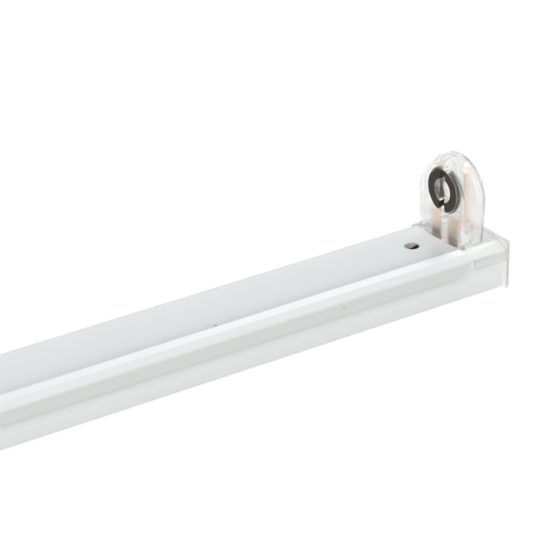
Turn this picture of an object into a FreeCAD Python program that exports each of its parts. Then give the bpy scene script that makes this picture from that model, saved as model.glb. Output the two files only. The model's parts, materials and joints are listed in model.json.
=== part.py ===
import FreeCAD, Part
import math
import os

# LED tube batten fitting for one 600 mm T8 tube.
# +X runs along the batten, +Z from the ceiling side to the tube, origin in the middle of the base.

# Tube, mm
tube_cap_length = 589.8
tube_end_play = 1.2
pin_spacing = 12.7
pin_radius = 1.2
pin_reach = 7.3

# Folded sheet cover
sheet = 0.6
bend_inside = 0.5
body_height = 19.2
plate_width = 25.8
first_bevel_out = 2.9
first_bevel_drop = 1.2
second_bevel_out = 3.3
second_bevel_drop = 2.0
skirt_height = 5.3
skirt_corner_length = 9.0
skirt_corner_gap = 1.0
cover_hole_diameter = 6.0
cover_hole_from_end = 13.8
hook_hole_diameter = 1.2
hook_hole_from_end = 114.0
hook_hole_inset = 0.7
latch_from_end = 61.0
latch_radius = 1.6
latch_floor_radius = 0.7
latch_depth = 1.3
latch_above_edge = 2.2
latch_window_clearance = 0.4

# Folded sheet tray
tray_gap = 1.0
tray_foot_flare = 0.3
tray_crease_bulge = 0.5
tray_crease_height = 5.2
tray_neck_height = 10.2
tray_lip = 2.0
tray_top_gap = 0.3
fixing_hole_diameter = 5.0
fixing_hole_spacing = 400.0

# End cap moulding with its lampholder
axis_above_plate = 19.7
collar_wall = 0.8
collar_clearance = 0.1
collar_start = 1.3
collar_side = 3.8
steel_reach = 15.2
tray_reach = 16.8
end_plate_thickness = 1.5
end_plate_gap = 0.2
end_plate_radius = 0.8
foot_overhang = 0.9
foot_bow = 1.2
foot_front = 0.3
foot_depth = 1.2
foot_clearance = 0.2
holder_wall = 1.3
holder_depth = 8.75
flare_depth = 5.9
front_arch_radius = 14.1
front_arch_drop = 3.1
back_arch_radius = 15.6
back_arch_drop = 1.9
foot_taper = 1.1
slot_width = 3.2
gusset_inner = 10.9
gusset_depth = 5.0
gusset_height = 10.5
gusset_slope = 1.5
gate_mark_radius = 0.7
gate_mark_depth = 0.5
gate_mark_y = 12.0
gate_mark_drop = 5.0
boss_radius = 1.6
boss_depth = 5.0
boss_drop = 12.6

# Back plate of the lampholder with its fixed posts
back_plate_thickness = 0.8
back_plate_inset = 0.5
rotor_bore = 9.9
running_clearance = 0.08
stop_rib = 1.5
stop_rib_angle = 25.0
peg_width = 1.6
peg_height = 5.5
peg_grip = 2.0
peg_clearance = 0.05

# Locking rotor
rotor_radius = 8.75
rotor_flange_radius = 9.6
rotor_flange_thickness = 0.9
rotor_hub_radius = 7.3
rotor_hub_depth = 2.1
rotor_bridge = 0.9
rotor_bridge_radius = 9.0
rotor_bridge_width = 8.0
rotor_gap = 3.1
rotor_mouth = 6.6
rotor_funnel_depth = 1.2
rotor_funnel_spread = 1.2
rotor_recess = 0.1
rotor_play = 0.1

# Contacts
contact_thickness = 0.35
contact_leg_width = 6.0
contact_leg_x = 2.3
contact_blade_front = 4.9
contact_blade_width = 2.2
contact_pin_grip = 0.1
contact_bow = 0.4
contact_leg_clearance = 0.3
contact_fold_height = 4.0
contact_hook_height = 8.5
contact_hook_in = 3.0
contact_bend = 0.6
contact_slot_clearance = 0.3
terminal_drop = 0.5
terminal_height = 4.6
terminal_length = 3.0
terminal_wire_hole = 2.6

# Mains terminal
block_poles = 3
block_pitch = 8.0
block_length = 18.0
block_height = 12.0
block_base = 2.0
block_groove = 1.0
block_groove_depth = 2.5
block_corner = 0.8
block_wire_height = 6.0
block_screw_bore = 3.8
clamp_size = 4.6
clamp_bore = 3.2
clamp_clearance = 0.1
clamp_inset = 1.0
clamp_screw_radius = 1.3
clamp_screw_height = 3.2
clamp_screw_offset = 5.6
clamp_screw_bite = 1.0

# Screws, earth connection and cable entry
screw_radius = 1.5
screw_head_radius = 2.9
screw_head_height = 1.9
screw_head_chamfer = 0.7
screw_slot = 0.7
screw_slot_depth = 0.9
screw_tip = 0.1
screw_hole_clearance = 0.2
screw_collar_wall = 1.0
screw_collar_height = 1.4
thread_clearance = 0.05
earth_x = -34.0
earth_tag_thickness = 0.6
earth_tag_radius = 3.6
earth_tag_length = 9.0
earth_tag_width = 3.2
earth_barrel_start = 5.0
earth_barrel_wall = 0.5
earth_washer_radius = 3.4
earth_washer_thickness = 0.5
entry_x = 46.0
entry_hole = 20.0
entry_joggle = 1.6
entry_joggle_gap = 0.6
grommet_flange = 2.0
grommet_flange_thickness = 1.2
grommet_bore = 10.0
grommet_lift = 0.3

# Wires
wire_diameter = 2.2
wire_grip = 2.0
wire_gap = 0.6
wire_floor_gap = 0.3
wire_first_run = 14.0
wire_last_run = 9.0
wire_rise_run = 26.0
wire_sway = [0.2, -0.2]
wire_lift = [0.5, 0.0]

# Places worked out from the sizes above
face_x = (tube_cap_length + tube_end_play) / 2
plate_half = plate_width / 2
skirt_half = plate_half + first_bevel_out + second_bevel_out
bevel_low = body_height - first_bevel_drop - second_bevel_drop
skirt_low = bevel_low - skirt_height
skirt_end = face_x + collar_start - skirt_corner_gap
tray_neck_half = skirt_half - sheet - tray_gap
tray_foot_half = tray_neck_half + tray_foot_flare
bevel_slope = second_bevel_drop / second_bevel_out
second_bevel_start = plate_half + first_bevel_out
bevel_over_tray = body_height - first_bevel_drop - bevel_slope * (tray_neck_half - second_bevel_start)
tray_top = bevel_over_tray - sheet * math.hypot(1, bevel_slope) - tray_top_gap
latch_z = skirt_low + latch_above_edge
axis_z = body_height + axis_above_plate
foot_half = plate_half + foot_overhang
foot_top = body_height + collar_clearance + collar_wall
foot_bottom = body_height - foot_depth
end_inner_x = face_x + tray_reach + end_plate_gap
rotor_flange_rear = holder_wall + rotor_play + rotor_flange_thickness
rotor_rear = rotor_flange_rear + rotor_hub_depth
contact_outside = pin_spacing / 2 + pin_radius - contact_pin_grip + contact_bow + contact_thickness
contact_centre = contact_outside - contact_leg_width / 2
terminal_top = foot_bottom - terminal_drop
terminal_z = terminal_top - terminal_height / 2
collar_top = sheet + screw_collar_height
pole_z = collar_top + block_wire_height
washer_z = collar_top + earth_tag_thickness
barrel_z = collar_top + earth_tag_thickness / 2 + wire_diameter / 2
up = FreeCAD.Vector(0, 0, 1)
along = FreeCAD.Vector(1, 0, 0)
tiny = 0.01


def point(x, y, z):
    return FreeCAD.Vector(x, y, z)


def box(x0, x1, y0, y1, z0, z1):
    low_y, high_y = sorted((y0, y1))
    return Part.makeBox(x1 - x0, high_y - low_y, z1 - z0, point(x0, low_y, z0))


def cylinder(radius, start, axis, length):
    return Part.makeCylinder(radius, length, start, axis)


def rounded_wire(corners, radii):
    """Closed wire through the corners, each rounded by an arc of its own radius."""
    spans = []
    count = len(corners)
    for index, corner in enumerate(corners):
        radius = radii[index]
        if radius < tiny:
            spans.append((corner, None, corner))
            continue
        back = (corners[index - 1] - corner).normalize()
        ahead = (corners[(index + 1) % count] - corner).normalize()
        half = back.getAngle(ahead) / 2
        inward = (back + ahead).normalize()
        centre = corner + inward * (radius / math.sin(half))
        reach = radius / math.tan(half)
        spans.append((corner + back * reach, centre - inward * radius, corner + ahead * reach))
    edges = []
    for index, (start, middle, end) in enumerate(spans):
        if middle is not None:
            edges.append(Part.Arc(start, middle, end).toShape())
        following = spans[(index + 1) % count][0]
        if (following - end).Length > tiny / 10:
            edges.append(Part.makeLine(end, following))
    return Part.Wire(edges)


def side_normals(line):
    """Unit normals to the right of each run of a line of (y, z) points."""
    normals = []
    for (y0, z0), (y1, z1) in zip(line, line[1:]):
        length = math.hypot(y1 - y0, z1 - z0)
        normals.append(((z1 - z0) / length, -(y1 - y0) / length))
    return normals


def offset_line(line, distance):
    """The line moved to its right by a distance, with mitred corners."""
    normals = side_normals(line)
    normals = [normals[0]] + normals + [normals[-1]]
    moved = []
    for (y, z), (ay, az), (by, bz) in zip(line, normals, normals[1:]):
        share = distance / (1 + ay * by + az * bz)
        moved.append((y + (ay + by) * share, z + (az + bz) * share))
    return moved


def sheet_solid(line, thickness, inside_radius, x0, x1):
    """Folded strip: the line of (y, z) points is its left face, thickened to the right."""
    inner = offset_line(line, thickness)
    normals = side_normals(line)
    left_radii = [0]
    right_radii = [0]
    for (ay, az), (by, bz) in zip(normals, normals[1:]):
        turns_right = ay * bz - az * by < 0
        left_radii.append(inside_radius + thickness if turns_right else inside_radius)
        right_radii.append(inside_radius if turns_right else inside_radius + thickness)
    left_radii.append(0)
    right_radii.append(0)
    corners = [point(x0, y, z) for y, z in line] + [point(x0, y, z) for y, z in reversed(inner)]
    wire = rounded_wire(corners, left_radii + right_radii[::-1])
    return Part.Face(wire).extrude(point(x1 - x0, 0, 0))


def filled_solid(line, radius, x0, x1):
    """Solid under a line of (y, z) points, its inner corners rounded, closed straight below."""
    radii = [0] + [radius] * (len(line) - 2) + [0]
    wire = rounded_wire([point(x0, y, z) for y, z in line], radii)
    return Part.Face(wire).extrude(point(x1 - x0, 0, 0))


def both_sides(half_line):
    """Mirror a line of (y, z) points, given from the middle outwards, about the XZ plane."""
    return [(-y, z) for y, z in reversed(half_line)] + half_line


def turned_to_left(shape):
    """The same moulding or pressing turned half round to serve the other end."""
    other = shape.copy()
    other.rotate(point(0, 0, 0), up, 180)
    return other


def bowed_plan(front, rear, half, z0, z1):
    """Upright block whose front edge is a shallow arc bowed towards the tube."""
    arc = Part.Arc(point(front, half, z0), point(front - foot_bow, 0, z0), point(front, -half, z0)).toShape()
    near = Part.makeLine(point(front, -half, z0), point(rear, -half, z0))
    end = Part.makeLine(point(rear, -half, z0), point(rear, half, z0))
    far = Part.makeLine(point(rear, half, z0), point(front, half, z0))
    return Part.Face(Part.Wire([arc, near, end, far])).extrude(up * (z1 - z0))


def cover_line(low):
    """Outer line of the cover, from its near lower edge over the plate to the far one."""
    half = [
        (plate_half, body_height),
        (plate_half + first_bevel_out, body_height - first_bevel_drop),
        (skirt_half, bevel_low),
        (skirt_half, low),
    ]
    return both_sides(half)


def skirt_corner_cut(end):
    """What is cut from both skirts beyond the quarter round at their end."""
    start = skirt_end - skirt_corner_length
    below = skirt_low - 1
    ellipse = Part.Ellipse(point(0, 0, 0), skirt_corner_length, skirt_height)
    arc = ellipse.toShape(1.5 * math.pi, 2 * math.pi)
    arc.rotate(point(0, 0, 0), along, 90)
    arc.translate(point(start, 0, bevel_low))
    edges = [
        arc,
        Part.makeLine(point(skirt_end, 0, bevel_low), point(end, 0, bevel_low)),
        Part.makeLine(point(end, 0, bevel_low), point(end, 0, below)),
        Part.makeLine(point(end, 0, below), point(start, 0, below)),
        Part.makeLine(point(start, 0, below), point(start, 0, skirt_low)),
    ]
    face = Part.Face(Part.Wire(Part.__sortEdges__(edges)))
    solid = face.extrude(point(0, 2 * skirt_half + 2, 0))
    solid.translate(point(0, -skirt_half - 1, 0))
    return solid


def latch_places():
    end = skirt_end - latch_from_end
    return [(x, side) for x in (-end, end) for side in (-1, 1)]


def latch_cone(x, side, growth):
    """Pressed dimple of a skirt, or the bump it raises inside, one sheet thickness larger."""
    start = point(x, side * skirt_half, latch_z)
    depth = latch_depth + growth
    return Part.makeCone(latch_radius + growth, latch_floor_radius + growth, depth, start, point(0, -side, 0))


def make_cover():
    length = face_x + steel_reach
    body = sheet_solid(cover_line(skirt_low), sheet, bend_inside, -length, length)
    bumps = [latch_cone(x, side, sheet) for x, side in latch_places()]
    cuts = [latch_cone(x, side, 0) for x, side in latch_places()]
    notch_front = face_x - foot_front - foot_clearance
    notch = bowed_plan(notch_front, length + 1, foot_half + foot_clearance, foot_bottom - 2, foot_top)
    plate_low = body_height - 2 * sheet
    hole_x = face_x - foot_front - cover_hole_from_end
    hole = cylinder(cover_hole_diameter / 2, point(hole_x, 0, plate_low), up, 3 * sheet)
    hook_y = plate_half - hook_hole_inset
    hook_x = face_x - hook_hole_from_end
    hook = cylinder(hook_hole_diameter / 2, point(hook_x, -hook_y, plate_low), up, 3 * sheet)
    for shape in (notch, hole, hook, skirt_corner_cut(length + 1)):
        cuts += [shape, turned_to_left(shape)]
    return body.fuse(bumps).cut(cuts).removeSplitter()


def make_base_tray():
    length = face_x + tray_reach
    half = [
        (tray_foot_half, 0),
        (tray_foot_half + tray_crease_bulge, tray_crease_height),
        (tray_neck_half, tray_neck_height),
        (tray_neck_half, tray_top),
        (tray_neck_half - tray_lip, tray_top),
    ]
    line = half[::-1] + [(-y, z) for y, z in half]
    tray = sheet_solid(line, sheet, bend_inside, -length, length)
    joggle_radius = entry_hole / 2 + grommet_flange + entry_joggle_gap + sheet
    joggle = cylinder(joggle_radius, point(entry_x, 0, 0), up, entry_joggle + sheet)
    pocket = cylinder(joggle_radius - sheet, point(entry_x, 0, -1), up, entry_joggle + 1)
    places = [earth_x, 0]
    collar_radius = screw_radius + thread_clearance + screw_collar_wall
    collars = [cylinder(collar_radius, point(x, 0, 0), up, collar_top) for x in places]
    tray = tray.fuse([joggle] + collars)
    cuts = [pocket, cylinder(entry_hole / 2, point(entry_x, 0, -1), up, entry_joggle + 3)]
    cuts += [cylinder(screw_radius + thread_clearance, point(x, 0, -1), up, collar_top + 2) for x in places]
    for x in (-fixing_hole_spacing / 2, fixing_hole_spacing / 2):
        cuts.append(cylinder(fixing_hole_diameter / 2, point(x, 0, -1), up, sheet + 2))
    window = latch_radius + latch_window_clearance
    for x, side in latch_places():
        y0 = side * (tray_neck_half - 2 * sheet)
        y1 = side * (tray_neck_half + 2 * sheet)
        cuts.append(box(x - window, x + window, y0, y1, latch_z - window, latch_z + window))
    return tray.cut(cuts).removeSplitter()


def arch_wire(depth, shrink, low):
    """Round arch on two side walls that narrow a little to the foot, at a depth behind the face."""
    share = min(depth / flare_depth, 1)
    radius = front_arch_radius + share * (back_arch_radius - front_arch_radius) - shrink
    middle = axis_z - front_arch_drop + share * (front_arch_drop - back_arch_drop)
    foot = radius - foot_taper
    x = face_x + depth
    left = point(x, radius, middle)
    right = point(x, -radius, middle)
    arc = Part.Arc(left, point(x, 0, middle + radius), right).toShape()
    near = Part.makeLine(right, point(x, -foot, low))
    base = Part.makeLine(point(x, -foot, low), point(x, foot, low))
    far = Part.makeLine(point(x, foot, low), left)
    return Part.Wire([arc, near, base, far])


def holder_form(front, shrink, low, extra):
    """Lampholder outline from a depth backwards: flared to the flare depth, then straight."""
    flare = Part.makeLoft([arch_wire(front, shrink, low), arch_wire(flare_depth, shrink, low)], True, True)
    straight = Part.Face(arch_wire(flare_depth, shrink, low))
    straight = straight.extrude(along * (holder_depth - flare_depth + extra))
    return flare.fuse(straight)


def make_gusset(side, outer):
    """Sloped corner block inside the front wall, with a hole for the back plate's peg."""
    rear = face_x + gusset_depth
    top = body_height + gusset_height
    corners = [
        point(face_x, 0, foot_bottom + tiny),
        point(rear, 0, foot_bottom + tiny),
        point(rear, 0, top - gusset_slope),
        point(face_x, 0, top),
    ]
    face = Part.Face(Part.makePolygon(corners + [corners[0]]))
    block = face.extrude(point(0, back_arch_radius - gusset_inner, 0))
    block.translate(point(0, gusset_inner, 0))
    if side < 0:
        block = block.mirror(point(0, 0, 0), point(0, 1, 0))
    return block.common(outer)


def peg_box(side, clearance, end):
    """Square peg of the back plate, or with a clearance its socket, from inside a gusset to an end depth."""
    half = peg_width / 2 + clearance
    y = side * (gusset_inner + front_arch_radius - foot_taper) / 2
    z = body_height + peg_height
    start = face_x + gusset_depth - peg_grip - clearance
    return box(start, face_x + end, y - half, y + half, z - half, z + half)


def make_end_cap():
    """End plate, collar, foot and lampholder housing, moulded in one."""
    outer_line = offset_line(cover_line(bevel_low - collar_side), -collar_clearance - collar_wall)
    inner_line = offset_line(cover_line(-1), -collar_clearance)
    collar = filled_solid(outer_line, bend_inside + collar_wall, face_x + collar_start, end_inner_x + tiny)
    steel_space = filled_solid(inner_line, bend_inside, face_x - 2 * foot_bow, end_inner_x)
    half = skirt_half + collar_clearance + collar_wall
    corners = [
        point(end_inner_x, -half, 0),
        point(end_inner_x, half, 0),
        point(end_inner_x, half, foot_top),
        point(end_inner_x, -half, foot_top),
    ]
    end_plate = Part.Face(rounded_wire(corners, [end_plate_radius] * 4)).extrude(along * end_plate_thickness)
    foot = bowed_plan(face_x - foot_front, end_inner_x + tiny, foot_half, foot_bottom, foot_top)
    boss = cylinder(boss_radius, point(face_x + tiny, 0, axis_z - boss_drop), along, boss_depth)
    outer = holder_form(0, 0, foot_bottom, 0)
    inner = holder_form(holder_wall, holder_wall, foot_top, tiny)
    gussets = [make_gusset(side, outer) for side in (-1, 1)]
    cap = outer.cut(inner).fuse([collar, end_plate, boss] + gussets).cut(steel_space).fuse(foot)
    bore = cylinder(rotor_radius + running_clearance, point(face_x - 1, 0, axis_z), along, holder_wall + 1.5)
    slot_top = axis_z + back_arch_radius
    slot = box(face_x - 1, face_x + holder_depth + 1, -slot_width / 2, slot_width / 2, axis_z, slot_top)
    mark_start = point(face_x - 1, -gate_mark_y, axis_z - gate_mark_drop)
    mark = cylinder(gate_mark_radius, mark_start, along, 1 + gate_mark_depth)
    cuts = [bore, slot, mark]
    leg_x = face_x + contact_leg_x
    for side in (-1, 1):
        y0 = side * (contact_outside - contact_leg_width - contact_slot_clearance)
        y1 = side * (contact_outside + contact_slot_clearance)
        rear = leg_x + contact_thickness + contact_slot_clearance
        cuts.append(box(leg_x - contact_slot_clearance, rear, y0, y1, foot_bottom - 1, foot_top + 1))
        cuts.append(peg_box(side, peg_clearance, holder_depth))
    return cap.cut(cuts).removeSplitter()


def make_holder_back():
    """Rear plate of the lampholder with its two half moon posts, stop ribs and pegs."""
    rear = face_x + holder_depth + tiny
    wire = arch_wire(holder_depth + tiny, back_plate_inset, foot_top + tiny)
    plate = Part.Face(wire).extrude(along * back_plate_thickness)
    post_radius = rotor_bore / 2 - running_clearance
    post_length = holder_depth - rotor_recess + back_plate_thickness / 2
    post = cylinder(post_radius, point(face_x + rotor_recess, 0, axis_z), along, post_length)
    half = slot_width / 2
    gap = box(face_x - 1, face_x + pin_reach, -half, half, axis_z - post_radius - 1, axis_z + post_radius + 1)
    parts = [post.cut(gap)]
    rib_x = face_x + rotor_rear + rotor_play
    rib_radius = rotor_flange_radius - stop_rib / 2
    for middle in (90, 270):
        for angle in (middle - stop_rib_angle, middle + stop_rib_angle):
            y = rib_radius * math.cos(math.radians(angle))
            z = axis_z + rib_radius * math.sin(math.radians(angle))
            rib = box(
                rib_x, rear + tiny, y - stop_rib / 2, y + stop_rib / 2, z - stop_rib / 2, z + stop_rib / 2
            )
            parts.append(rib)
    for side in (-1, 1):
        parts.append(peg_box(side, 0, holder_depth + 2 * tiny))
    return plate.fuse(parts).removeSplitter()


def rotor_funnel(x0, x1, side):
    """Wedge that opens a gap of the ring at its rim, where the pins come in."""
    half = rotor_gap / 2
    start = axis_z + side * (rotor_radius - rotor_funnel_depth)
    end = axis_z + side * (rotor_radius + rotor_funnel_depth)
    wide = half + 2 * rotor_funnel_spread
    corners = [point(x0, -half, start), point(x0, half, start), point(x0, wide, end), point(x0, -wide, end)]
    return Part.Face(Part.makePolygon(corners + [corners[0]])).extrude(point(x1 - x0, 0, 0))


def make_rotor():
    """Locking ring: a rim in the housing's bore, a flange behind the wall and a hub, gapped for the pins."""
    front = face_x + rotor_recess
    flange_x = face_x + holder_wall + rotor_play
    flange_rear = face_x + rotor_flange_rear
    rear = face_x + rotor_rear
    rim = cylinder(rotor_radius, point(front, 0, axis_z), along, flange_rear - front)
    flange = cylinder(rotor_flange_radius, point(flange_x, 0, axis_z), along, flange_rear - flange_x)
    hub = cylinder(rotor_hub_radius, point(front, 0, axis_z), along, rear - front)
    bridge_x = rear - rotor_bridge
    bridge = cylinder(rotor_bridge_radius, point(bridge_x, 0, axis_z), along, rotor_bridge)
    bridge_half = rotor_bridge_width / 2
    bridge = bridge.common(box(bridge_x, rear, -bridge_half, bridge_half, axis_z - 2 * rotor_radius, axis_z))
    cuts = [cylinder(rotor_bore / 2, point(front - 1, 0, axis_z), along, rear - front + 2)]
    half = rotor_gap / 2
    pin_end = pin_spacing / 2 + half
    reach = 2 * rotor_radius
    cuts.append(box(front - 1, rear + 1, -half, half, axis_z - pin_end, axis_z + reach))
    cuts.append(box(front - 1, bridge_x, -half, half, axis_z - reach, axis_z))
    mouth = rotor_mouth / 2
    cuts.append(box(flange_x, rear + 1, -mouth, mouth, axis_z + rotor_hub_radius, axis_z + reach))
    cuts.append(box(flange_x, bridge_x, -mouth, mouth, axis_z - reach, axis_z - rotor_hub_radius))
    for side in (-1, 1):
        cuts.append(rotor_funnel(front - 1, flange_rear + 1, side))
    return rim.fuse([flange, hub, bridge]).cut(cuts).removeSplitter()


def make_contact(side):
    """Leaf contact of one pin: terminal box in the base, flat leg, fold and sprung blade."""
    outside = contact_outside
    leg_top = axis_z - rotor_flange_radius - contact_leg_clearance
    fold_low = leg_top - contact_fold_height
    blade_line = [
        (outside, fold_low),
        (outside, axis_z - contact_fold_height),
        (outside - contact_bow, axis_z),
        (outside, axis_z + contact_fold_height),
        (outside - 2 * contact_bow, axis_z + contact_hook_height),
        (outside - contact_hook_in, axis_z + contact_hook_height + contact_hook_in / 2),
    ]
    blade_x = face_x + contact_blade_front
    blade_end = blade_x + contact_blade_width
    blade = sheet_solid(blade_line[::-1], contact_thickness, contact_bend, blade_x, blade_end)
    leg_x = face_x + contact_leg_x
    inside = outside - contact_leg_width
    leg = box(leg_x, leg_x + contact_thickness, inside, outside, terminal_top - terminal_height, leg_top)
    fold = box(leg_x, blade_end, outside - contact_thickness, outside, fold_low, leg_top)
    terminal_x = leg_x + contact_thickness - tiny
    terminal_end = terminal_x + terminal_length
    terminal = box(terminal_x, terminal_end, inside, outside, terminal_top - terminal_height, terminal_top)
    hole_start = point(leg_x - 1, contact_centre, terminal_z)
    hole = cylinder(terminal_wire_hole / 2, hole_start, along, terminal_length + 1)
    contact = blade.fuse([leg, fold, terminal]).cut(hole).removeSplitter()
    if side < 0:
        contact = contact.mirror(point(0, 0, 0), point(0, 1, 0))
    return contact


def pole_places():
    middle = (block_poles - 1) / 2
    return [(index - middle) * block_pitch for index in range(block_poles)]


def clamp_screw_places():
    return [(x, y) for y in pole_places() for x in (-clamp_screw_offset, clamp_screw_offset)]


def make_terminal_block():
    """Moulded three pole block with square clamp chambers and screw wells."""
    half = block_poles * block_pitch / 2
    reach = block_length / 2
    top = collar_top + block_height
    block = box(-reach, reach, -half, half, collar_top, top)
    upright = [edge for edge in block.Edges if abs(edge.tangentAt(edge.FirstParameter).z) > 0.9]
    block = block.makeChamfer(block_corner, upright)
    chamber = clamp_size / 2 + clamp_clearance
    cuts = []
    for y in pole_places():
        cuts.append(box(-reach - 1, reach + 1, y - chamber, y + chamber, pole_z - chamber, pole_z + chamber))
    for x, y in clamp_screw_places():
        cuts.append(cylinder(block_screw_bore / 2, point(x, y, pole_z), up, block_height))
    for y in pole_places()[:-1]:
        middle = y + block_pitch / 2
        groove = block_groove / 2
        low = top - block_groove_depth
        cuts.append(box(-reach - 1, reach + 1, middle - groove, middle + groove, low, top + 1))
    head = screw_head_radius + screw_hole_clearance
    cuts.append(cylinder(head, point(0, 0, collar_top + block_base), up, block_height))
    cuts.append(cylinder(screw_radius + screw_hole_clearance, point(0, 0, collar_top - 1), up, block_height))
    return block.cut(cuts).removeSplitter()


def make_terminal_clamps():
    """Brass bars of the terminal block; the middle pole's is split by the fixing screw."""
    clamps = []
    reach = block_length / 2 - clamp_inset
    inner = screw_head_radius + 2 * screw_hole_clearance
    half = clamp_size / 2
    for y in pole_places():
        spans = [(-reach, -inner), (inner, reach)] if abs(y) < block_pitch / 2 else [(-reach, reach)]
        for start, end in spans:
            bar = box(start, end, y - half, y + half, pole_z - half, pole_z + half)
            bore = cylinder(clamp_bore / 2, point(start - 1, y, pole_z), along, end - start + 2)
            taps = [
                cylinder(clamp_screw_radius + thread_clearance, point(x, y, pole_z), up, clamp_size)
                for x in (-clamp_screw_offset, clamp_screw_offset)
            ]
            clamps.append(bar.cut([bore] + taps))
    return Part.makeCompound(clamps)


def make_terminal_screws():
    """Grub screws of the six clamps, driven down to their wires."""
    screws = []
    low = pole_z + wire_diameter / 2 - clamp_screw_bite / 2
    top = low + clamp_screw_height
    for x, y in clamp_screw_places():
        screw = cylinder(clamp_screw_radius, point(x, y, low), up, clamp_screw_height)
        slot = box(x - 2, x + 2, y - screw_slot / 3, y + screw_slot / 3, top - screw_slot_depth, top + 1)
        screws.append(screw.cut(slot))
    return Part.makeCompound(screws)


def make_pan_screw(x, seat_z):
    """Slotted screw whose head seats at a height and whose shank ends in the tray's collar."""
    head = cylinder(screw_head_radius, point(x, 0, seat_z), up, screw_head_height)
    rim = [edge for edge in head.Edges if edge.Closed and edge.BoundBox.ZMin > seat_z + tiny]
    head = head.makeChamfer(screw_head_chamfer, rim)
    shank = cylinder(screw_radius, point(x, 0, screw_tip), up, seat_z)
    top = seat_z + screw_head_height
    reach = screw_head_radius + 1
    slot = box(x - reach, x + reach, -screw_slot / 2, screw_slot / 2, top - screw_slot_depth, top + 1)
    return head.fuse(shank).cut(slot).removeSplitter()


def make_earth_tag():
    """Ring tag and crimped barrel of the earth wire."""
    ring = cylinder(earth_tag_radius, point(earth_x, 0, collar_top), up, earth_tag_thickness)
    half = earth_tag_width / 2
    tongue = box(earth_x, earth_x + earth_tag_length, -half, half, collar_top, washer_z)
    barrel_x = earth_x + earth_barrel_start
    barrel_length = earth_tag_length - earth_barrel_start
    bore_radius = wire_diameter / 2 + thread_clearance
    barrel = cylinder(bore_radius + earth_barrel_wall, point(barrel_x, 0, barrel_z), along, barrel_length)
    bore = cylinder(bore_radius, point(barrel_x + 1, 0, barrel_z), along, barrel_length)
    hole = cylinder(screw_radius + screw_hole_clearance, point(earth_x, 0, collar_top - 1), up, 3)
    below = box(barrel_x - 1, barrel_x + barrel_length + 1, -half - 1, half + 1, collar_top - 2, collar_top)
    return ring.fuse([tongue, barrel]).cut([bore, hole, below]).removeSplitter()


def make_earth_washer():
    disc = cylinder(earth_washer_radius, point(earth_x, 0, washer_z), up, earth_washer_thickness)
    return disc.cut(cylinder(screw_radius + screw_hole_clearance, point(earth_x, 0, collar_top), up, 3))


def make_grommet():
    """Rubber ring whose groove grips the edge of the tray's joggled entry hole."""
    groove_high = entry_joggle + sheet
    high = groove_high + grommet_flange_thickness
    outer = entry_hole / 2 + grommet_flange
    body = cylinder(outer, point(entry_x, 0, grommet_lift), up, high - grommet_lift)
    ring = cylinder(outer + 1, point(entry_x, 0, entry_joggle), up, sheet)
    neck = cylinder(entry_hole / 2, point(entry_x, 0, entry_joggle), up, sheet)
    bore = cylinder(grommet_bore / 2, point(entry_x, 0, -1), up, high + 2)
    return body.cut(ring.cut(neck)).cut(bore)


def wire_tube(route):
    """Insulated wire: straight runs joined by tangent arcs, as round as their runs allow."""
    radius = wire_diameter / 2
    edges = []
    start = route[0]
    for before, corner, after in zip(route, route[1:], route[2:]):
        back = before - corner
        ahead = after - corner
        turn = math.pi - back.getAngle(ahead)
        reach = 0.45 * min(back.Length, ahead.Length)
        bend = reach / math.tan(turn / 2)
        back.normalize()
        ahead.normalize()
        inward = (back + ahead).normalize()
        centre = corner + inward * (bend / math.cos(turn / 2))
        leave = corner + ahead * reach
        edges.append(Part.makeLine(start, corner + back * reach))
        edges.append(Part.Arc(corner + back * reach, centre - inward * bend, leave).toShape())
        start = leave
    edges.append(Part.makeLine(start, route[-1]))
    path = Part.Wire(edges)
    profile = Part.Wire([Part.makeCircle(radius, route[0], route[1] - route[0])])
    return path.makePipeShell([profile], True, False)


def make_feed_wire(side):
    """Feed wire from its pole past the grommet and along the tray floor to its contact."""
    floor_level = sheet + wire_floor_gap + wire_diameter / 2
    lane = (entry_hole / 2 + grommet_flange + tray_foot_half - sheet) / 2
    start_x = block_length / 2 - wire_grip
    end_x = face_x + contact_leg_x + wire_grip
    route = [
        point(start_x, side * block_pitch, pole_z),
        point(start_x + wire_first_run, side * (block_pitch + wire_gap), pole_z),
    ]
    lane_ends = (entry_x, end_x - wire_last_run - wire_rise_run)
    for x, sway, lift in zip(lane_ends, wire_sway, wire_lift):
        route.append(point(x, side * (lane + sway), floor_level + lift))
    route.append(point(end_x - wire_last_run, side * contact_centre, terminal_z))
    route.append(point(end_x, side * contact_centre, terminal_z))
    return wire_tube(route)


def make_earth_wire():
    start_x = wire_grip - block_length / 2
    end_x = earth_x + earth_barrel_start + wire_grip
    run = (start_x - end_x) / 4
    route = [
        point(start_x, 0, pole_z),
        point(start_x - run, 0, pole_z),
        point(end_x + run, 0, barrel_z),
        point(end_x, 0, barrel_z),
    ]
    return wire_tube(route)


def export(name, shape):
    shape.exportStep("parts/" + name + ".step")
    print(name, "valid", shape.isValid(), "solids", len(shape.Solids), "volume", round(shape.Volume, 1))


def export_pair(name, shape):
    export(name + "_right", shape)
    export(name + "_left", turned_to_left(shape))


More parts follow.
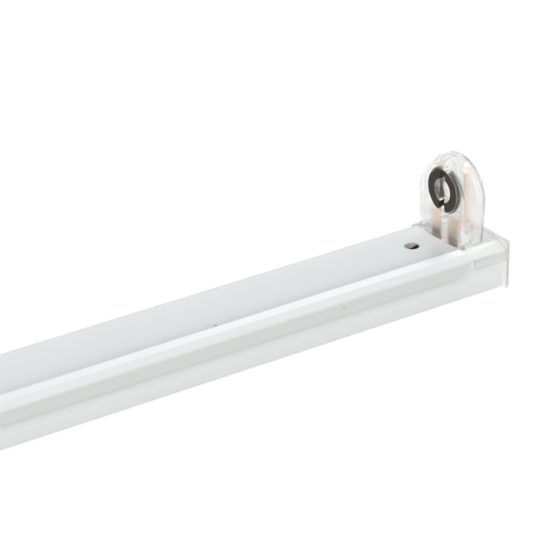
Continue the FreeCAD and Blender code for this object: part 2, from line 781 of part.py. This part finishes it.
os.makedirs("parts", exist_ok=True)
export("cover", make_cover())
export("base_tray", make_base_tray())
export_pair("end_cap", make_end_cap())
export_pair("holder_back", make_holder_back())
export_pair("rotor", make_rotor())
for side, name, opposite in ((-1, "near", "far"), (1, "far", "near")):
    contact = make_contact(side)
    export("contact_" + name + "_right", contact)
    export("contact_" + opposite + "_left", turned_to_left(contact))
export("terminal_block", make_terminal_block())
export("terminal_clamps", make_terminal_clamps())
export("terminal_screws", make_terminal_screws())
export("block_screw", make_pan_screw(0, collar_top + block_base))
export("earth_tag", make_earth_tag())
export("earth_washer", make_earth_washer())
export("earth_screw", make_pan_screw(earth_x, washer_z + earth_washer_thickness))
export("cable_grommet", make_grommet())
export("wire_live", make_feed_wire(1))
export("wire_neutral", make_feed_wire(-1))
export("wire_earth", make_earth_wire())
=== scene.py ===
import json
import math

import bpy
from mathutils import Matrix, Vector


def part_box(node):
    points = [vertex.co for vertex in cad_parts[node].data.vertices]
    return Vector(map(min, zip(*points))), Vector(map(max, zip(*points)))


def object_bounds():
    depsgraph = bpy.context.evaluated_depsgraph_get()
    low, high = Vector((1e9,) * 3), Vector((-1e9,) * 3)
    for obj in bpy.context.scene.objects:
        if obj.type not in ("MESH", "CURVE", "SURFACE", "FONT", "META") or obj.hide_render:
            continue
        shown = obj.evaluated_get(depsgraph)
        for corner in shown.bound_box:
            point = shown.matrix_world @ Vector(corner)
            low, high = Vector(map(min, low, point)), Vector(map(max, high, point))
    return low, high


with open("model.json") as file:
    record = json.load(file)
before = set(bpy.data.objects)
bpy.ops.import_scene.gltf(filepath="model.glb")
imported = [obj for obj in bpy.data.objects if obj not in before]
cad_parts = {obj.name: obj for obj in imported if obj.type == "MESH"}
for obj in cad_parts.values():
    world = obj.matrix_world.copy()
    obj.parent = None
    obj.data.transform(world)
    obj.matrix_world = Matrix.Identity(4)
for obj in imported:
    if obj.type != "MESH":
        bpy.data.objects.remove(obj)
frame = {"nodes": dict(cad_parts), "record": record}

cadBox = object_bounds()
print("frame loaded with", len(frame["nodes"]), "nodes")


class Socket:
    # one value of a shader tree, whose sums and products add Math nodes
    def __init__(self, tree, link):
        self.tree = tree
        self.link = link

    def __add__(self, other):
        return self.tree.maths("ADD", self, other)

    def __radd__(self, other):
        return self.tree.maths("ADD", other, self)

    def __sub__(self, other):
        return self.tree.maths("SUBTRACT", self, other)

    def __rsub__(self, other):
        return self.tree.maths("SUBTRACT", other, self)

    def __mul__(self, other):
        return self.tree.maths("MULTIPLY", self, other)

    def __rmul__(self, other):
        return self.tree.maths("MULTIPLY", other, self)


class Tree:
    # a shader's nodes under construction
    def __init__(self, tree):
        self.tree = tree

    def feed(self, target, value):
        if isinstance(value, Socket):
            self.tree.links.new(value.link, target)
        elif isinstance(value, (tuple, list)) and len(value) == 3 and target.type == "RGBA":
            target.default_value = (*value, 1)
        else:
            target.default_value = value

    def node(self, kind, settings=None, inputs=None, output=0):
        made = self.tree.nodes.new(kind)
        for name, value in (settings or {}).items():
            setattr(made, name, value)
        for name, value in (inputs or {}).items():
            self.feed(made.inputs[name], value)
        return Socket(self, made.outputs[output])

    def maths(self, operation, first, second=0):
        return self.node("ShaderNodeMath", {"operation": operation}, {0: first, 1: second})

    def seenRay(self):
        # 1 for what the lens sees straight, in a gloss or through a clear wall
        kinds = ("Is Camera Ray", "Is Glossy Ray", "Is Transmission Ray")
        straight, gloss, through = [self.node("ShaderNodeLightPath", output=kind) for kind in kinds]
        return self.maths("MAXIMUM", straight, self.maths("MAXIMUM", gloss, through))


patchiness = 0.3  # how far a mask's strength wanders


class Paint(Tree):
    # one material, read in metres on the object's own coordinates
    def __init__(self, name):
        self.material = bpy.data.materials.new(name)
        self.material.use_nodes = True
        super().__init__(self.material.node_tree)
        self.tree.nodes.clear()
        self.end = self.tree.nodes.new("ShaderNodeOutputMaterial")
        self.place = self.node("ShaderNodeTexCoord", output="Object")

    def along(self, axis):
        return self.node("ShaderNodeSeparateXYZ", inputs={"Vector": self.place}, output=axis)

    def aside(self, axis):
        return self.maths("ABSOLUTE", self.along(axis))

    def stretched(self, scale):
        return self.node("ShaderNodeMapping", inputs={"Vector": self.place, "Scale": scale})

    def noise(self, scale, detail=3, vector=None):
        values = {"Vector": vector or self.place, "Scale": scale, "Detail": detail}
        return self.node("ShaderNodeTexNoise", inputs=values)

    def between(self, factor, low, high):
        # colour that goes from low to high with the factor
        sockets = {0: factor, 6: low, 7: high}  # the colour sockets of a Mix node
        return self.node("ShaderNodeMix", {"data_type": "RGBA"}, sockets, output=2)

    def patchy(self, mask, cloud):
        # mask whose strength wanders with the cloud
        return mask * (1 - patchiness / 2 + patchiness * cloud)

    def bump(self, height, depth, strength=1.0, normal=None):
        values = {"Height": height, "Distance": depth, "Strength": strength}
        if normal is not None:
            values["Normal"] = normal
        return self.node("ShaderNodeBump", inputs=values)

    def shader(self, **values):
        inputs = {name.replace("_", " "): value for name, value in values.items()}
        return self.node("ShaderNodeBsdfPrincipled", inputs=inputs)

    def close(self, shader):
        self.tree.links.new(shader.link, self.end.inputs["Surface"])
        return self.material

    def finish(self, **values):
        return self.close(self.shader(**values))


# finishes

steelCoat = {
    "colour": (0.775, 0.802, 0.806), "shade": (0.742, 0.770, 0.776), "cloudScale": 22.0,
    "skirtPaintedShade": (0.690, 0.728, 0.698), "skirtFace": 0.0187,  # the skirt lies further out than this
    "trayPaintedLight": (0.808, 0.840, 0.833), "trayTop": 0.0106,  # the tray shows below this height
    "roughness": 0.30, "roughnessSpan": 0.08,
    "peelScale": 620.0, "grainScale": 2600.0, "grainShare": 0.2, "peelDepth": 0.000012,
    "plateHalf": 0.0129, "hollow": 12.0,
}


def paintedSteel():
    v = steelCoat
    paint = Paint("painted steel")
    cloud = paint.noise(v["cloudScale"], 4)
    peel = paint.noise(v["peelScale"], 2)
    grain = paint.noise(v["grainScale"], 2)
    aside = paint.aside("Y")
    tray = paint.maths("LESS_THAN", paint.along("Z"), v["trayTop"])
    # painted shade: the upright outer face of the skirt gets a darker, greener colour than the rest of the
    # same painted sheet
    skirt = paint.maths("GREATER_THAN", aside, v["skirtFace"]) * (1 - tray)
    coat = paint.between(cloud, v["colour"], v["shade"])
    coat = paint.between(paint.patchy(tray, cloud), coat, v["trayPaintedLight"])  # painted light: the tray is painted paler to lift the shade that falls on it under the skirt
    across = paint.maths("MINIMUM", aside, v["plateHalf"])
    dished = paint.bump(across * across * v["hollow"], 1.0)  # rolled sheet: the wide face is slightly hollow
    surface = peel * (1 - v["grainShare"]) + grain * v["grainShare"]
    return paint.finish(
        Base_Color=paint.between(paint.patchy(skirt, cloud), coat, v["skirtPaintedShade"]),
        Roughness=v["roughness"] + v["roughnessSpan"] * (grain - 0.5),
        Normal=paint.bump(surface, v["peelDepth"], normal=dished),
    )


clearMoulding = {
    "colour": (0.998, 0.998, 0.992), "gloss": 0.06, "glossSpan": 0.08, "ior": 1.33, "clearShare": 0.92,
    "body": 0.48,  # share that refracts, the rest is seen straight through
    "collarPaintedShade": (0.80, 0.825, 0.79), "collarGloss": 0.30, "collarBody": 0.14,
    "collarTop": 0.0206, "collarReach": 0.3124, "collarInner": 0.0125,
    "flowScale": 60.0, "cloudScale": 480.0, "flowDepth": 0.00003, "flowStrength": 0.4,
}


def clearPlastic():
    # clear moulding whose faces scatter a small share of the light, denser and duller beside the cover,
    # where its colour is painted darker as painted shade
    v = clearMoulding
    paint = Paint("clear plastic")
    flow = paint.noise(v["flowScale"], 2)
    cloud = paint.noise(v["cloudScale"], 3)
    low = paint.maths("LESS_THAN", paint.along("Z"), v["collarTop"])
    inside = paint.maths("LESS_THAN", paint.aside("X"), v["collarReach"])
    beside = paint.maths("GREATER_THAN", paint.aside("Y"), v["collarInner"])
    collar = low * inside * beside
    dull = collar + (1 - inside)  # the end plate is dull too
    return paint.finish(
        # painted shade: the foot beside the cover is painted a darker grey-green, standing in for the shadow
        # these walls no longer cast on the cover, with a little tint of the thicker plastic
        Base_Color=paint.between(paint.patchy(collar, flow), v["colour"], v["collarPaintedShade"]),
        Roughness=v["gloss"] + v["glossSpan"] * cloud + v["collarGloss"] * dull,
        Normal=paint.bump(flow, v["flowDepth"], v["flowStrength"]),
        IOR=v["ior"],
        Transmission_Weight=v["clearShare"],
        Alpha=v["body"] + v["collarBody"] * dull,
    )


plainFinishes = {
    "rotor_plastic": {
        "colour": (0.034, 0.023, 0.014), "shade": (0.046, 0.033, 0.021), "roughness": 0.55, "scale": 900.0,
    },
    "block_plastic": {
        "colour": (0.80, 0.80, 0.77), "shade": (0.74, 0.74, 0.71), "roughness": 0.45, "scale": 700.0,
    },
    "grommet_rubber": {
        "colour": (0.022, 0.022, 0.023), "shade": (0.036, 0.036, 0.037), "roughness": 0.7, "scale": 1500.0,
    },
    "wire_brown": {
        "colour": (0.150, 0.062, 0.030), "shade": (0.118, 0.048, 0.023), "roughness": 0.38, "scale": 1100.0,
    },
    "wire_blue": {
        "colour": (0.030, 0.120, 0.520), "shade": (0.022, 0.095, 0.440), "roughness": 0.38, "scale": 1100.0,
    },
}
plainGrain = {"cloudShare": 0.2, "roughnessSpan": 0.16, "depth": 0.00001, "strength": 0.5, "specular": 0.3}


def plainFinish(name):
    v = plainFinishes[name]
    g = plainGrain
    paint = Paint(name.replace("_", " "))
    cloud = paint.noise(v["scale"] * g["cloudShare"], 3)
    grain = paint.noise(v["scale"], 3)
    return paint.finish(
        Base_Color=paint.between(cloud, v["colour"], v["shade"]),
        Roughness=v["roughness"] + g["roughnessSpan"] * (grain - 0.5),
        Normal=paint.bump(grain, g["depth"], g["strength"]),
        Specular_IOR_Level=g["specular"],
    )


metalFinishes = {  # brush stretches the drawing lines along the axis where it is small
    "contact_bronze": {
        "colour": (0.94, 0.77, 0.65), "shade": (0.88, 0.68, 0.54),
        "roughness": 0.42, "brush": (1.0, 1.0, 0.08),
    },
    "clamp_brass": {
        "colour": (0.80, 0.61, 0.29), "shade": (0.68, 0.49, 0.22),
        "roughness": 0.32, "brush": (0.1, 1.0, 1.0),
    },
    "screw_steel": {
        "colour": (0.66, 0.67, 0.68), "shade": (0.55, 0.56, 0.58),
        "roughness": 0.34, "brush": (1.0, 1.0, 0.3),
    },
}
metalGrain = {"scale": 2200.0, "cloudShare": 0.1, "roughnessSpan": 0.2, "depth": 0.000006, "strength": 0.6}


def metalFinish(name):
    v = metalFinishes[name]
    g = metalGrain
    paint = Paint(name.replace("_", " "))
    lines = paint.noise(g["scale"], 2, paint.stretched(v["brush"]))
    cloud = paint.noise(g["scale"] * g["cloudShare"], 3)
    return paint.finish(
        Base_Color=paint.between(cloud, v["colour"], v["shade"]),
        Roughness=v["roughness"] + g["roughnessSpan"] * (lines - 0.5),
        Metallic=1.0,
        Normal=paint.bump(lines, g["depth"], g["strength"]),
    )


earthInsulation = {
    "green": (0.045, 0.300, 0.060), "yellow": (0.760, 0.620, 0.040), "roughness": 0.38, "stripeScale": 220.0,
    "grainScale": 1100.0,
}


def earthWireFinish():
    # green and yellow stripes that follow each other across the wire
    v = earthInsulation
    g = plainGrain
    paint = Paint("wire green and yellow")
    grain = paint.noise(v["grainScale"], 3)
    values = {"Vector": paint.place, "Scale": v["stripeScale"], "Distortion": 0.0}
    wave = paint.node("ShaderNodeTexWave", {"bands_direction": "Y"}, values, output="Fac")
    return paint.finish(
        Base_Color=paint.between(paint.maths("GREATER_THAN", wave, 0.5), v["green"], v["yellow"]),
        Roughness=v["roughness"] + g["roughnessSpan"] * (grain - 0.5),
        Normal=paint.bump(grain, g["depth"], g["strength"]),
    )


finishes = {
    "painted_steel": paintedSteel(),
    "clear_plastic": clearPlastic(),
    "wire_green": earthWireFinish(),
}
finishes.update({name: plainFinish(name) for name in plainFinishes})
finishes.update({name: metalFinish(name) for name in metalFinishes})

slotOf = {part["node"]: part["material_slot"] for part in frame["record"]["subparts"]}
for node, thing in frame["nodes"].items():
    thing.data.materials.clear()
    thing.data.materials.append(finishes[slotOf[node]])
    thing.visible_shadow = slotOf[node] != "clear_plastic"  # clear walls let the lamps' light in
print("finishes on", len(slotOf), "nodes")


# camera, as the photograph was taken

photo = {
    "size": 540, "sensor": 36.0, "focalPixels": 3063.0, "turn": 54.9, "tilt": 26.1, "clip": (0.05, 50.0),
    "scale": 2592.0,  # pixels to the metre at the right rotor
    "rotorAt": (442.0, 190.8),  # pixel of the middle of the right rotor's front
}


def makeCamera():
    v = photo
    turn, tilt = math.radians(v["turn"]), math.radians(v["tilt"])
    forward = Vector((math.cos(turn) * math.cos(tilt), math.sin(turn) * math.cos(tilt), -math.sin(tilt)))
    right = Vector((math.sin(turn), -math.cos(turn), 0))
    up = right.cross(forward)
    low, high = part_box("rotor_right")
    middle = Vector((low[0], (low[1] + high[1]) / 2, (low[2] + high[2]) / 2))
    sideways = (v["rotorAt"][0] - v["size"] / 2) / v["scale"]
    upwards = (v["size"] / 2 - v["rotorAt"][1]) / v["scale"]
    data = bpy.data.cameras.new("camera")
    data.sensor_width = v["sensor"]
    data.lens = v["focalPixels"] / v["size"] * v["sensor"]
    camera = bpy.data.objects.new("camera", data)
    turned = Matrix((right, up, -forward)).transposed().to_4x4()
    spot = middle - forward * (v["focalPixels"] / v["scale"]) - right * sideways - up * upwards
    camera.matrix_world = Matrix.Translation(spot) @ turned
    data.clip_start, data.clip_end = v["clip"]
    bpy.context.scene.collection.objects.link(camera)
    bpy.context.scene.camera = camera


makeCamera()
print("camera set")


# floor and light

studio = {
    "floorSize": 6.0, "floorDrop": 0.0002, "grainScale": 400.0,
    "floorColour": (0.86, 0.86, 0.86), "floorShade": (0.88, 0.88, 0.88),
    "whiteShare": 0.72, "floorGlow": 1.12,  # how white the lens sees the floor, which keeps its shadow
    "skyFill": 0.50,  # strength of the sky as light on the object, where 1 is what the lens sees
}
lamps = {  # those without glint stay out of reflections, so that the pale cover doesn't clip from behind
    "overhead": {"place": (-0.25, -0.45, 1.5), "size": 1.6, "power": 10.0, "glint": False},
    "nearSide": {"place": (0.4, -1.7, 0.9), "size": 1.2, "power": 7.0, "glint": False},
    "bevelGlint": {"place": (3.3, 1.2, 4.9), "size": 1.2, "power": 30.0, "glint": True},
}


def makeFloor():
    v = studio
    half = v["floorSize"] / 2
    flat = ((-half, -half), (half, -half), (half, half), (-half, half))
    corners = [(x, y, -v["floorDrop"]) for x, y in flat]
    mesh = bpy.data.meshes.new("floor")
    mesh.from_pydata(corners, [], [(0, 1, 2, 3)])
    floor = bpy.data.objects.new("floor", mesh)
    bpy.context.scene.collection.objects.link(floor)
    paint = Paint("floor")
    colour = paint.between(paint.noise(v["grainScale"]), v["floorColour"], v["floorShade"])
    matt = paint.node("ShaderNodeBsdfDiffuse", inputs={"Color": colour})
    glow = paint.node("ShaderNodeEmission", inputs={"Color": (1, 1, 1), "Strength": v["floorGlow"]})
    white = paint.seenRay() * v["whiteShare"]
    mixed = paint.node("ShaderNodeMixShader", inputs={0: white, 1: matt, 2: glow})
    mesh.materials.append(paint.close(mixed))


def makeSky():
    world = bpy.data.worlds.new("sky")
    world.use_nodes = True
    bpy.context.scene.world = world
    sky = Tree(world.node_tree)
    background = world.node_tree.nodes["Background"]
    sky.feed(background.inputs["Color"], (1, 1, 1))
    sky.feed(background.inputs["Strength"], studio["skyFill"] + (1 - studio["skyFill"]) * sky.seenRay())


def makeLamps():
    low, high = cadBox
    middle = (Vector(low) + Vector(high)) / 2
    for name, v in lamps.items():
        data = bpy.data.lights.new(name, "AREA")
        data.shape = "DISK"
        data.size = v["size"]
        data.energy = v["power"]
        lamp = bpy.data.objects.new(name, data)
        lamp.location = v["place"]
        lamp.visible_glossy = v["glint"]
        lamp.rotation_euler = (middle - Vector(v["place"])).to_track_quat("-Z", "Y").to_euler()
        bpy.context.scene.collection.objects.link(lamp)


makeFloor()
makeSky()
makeLamps()
bpy.context.scene.view_settings.view_transform = "Standard"
print("stage and light ready")
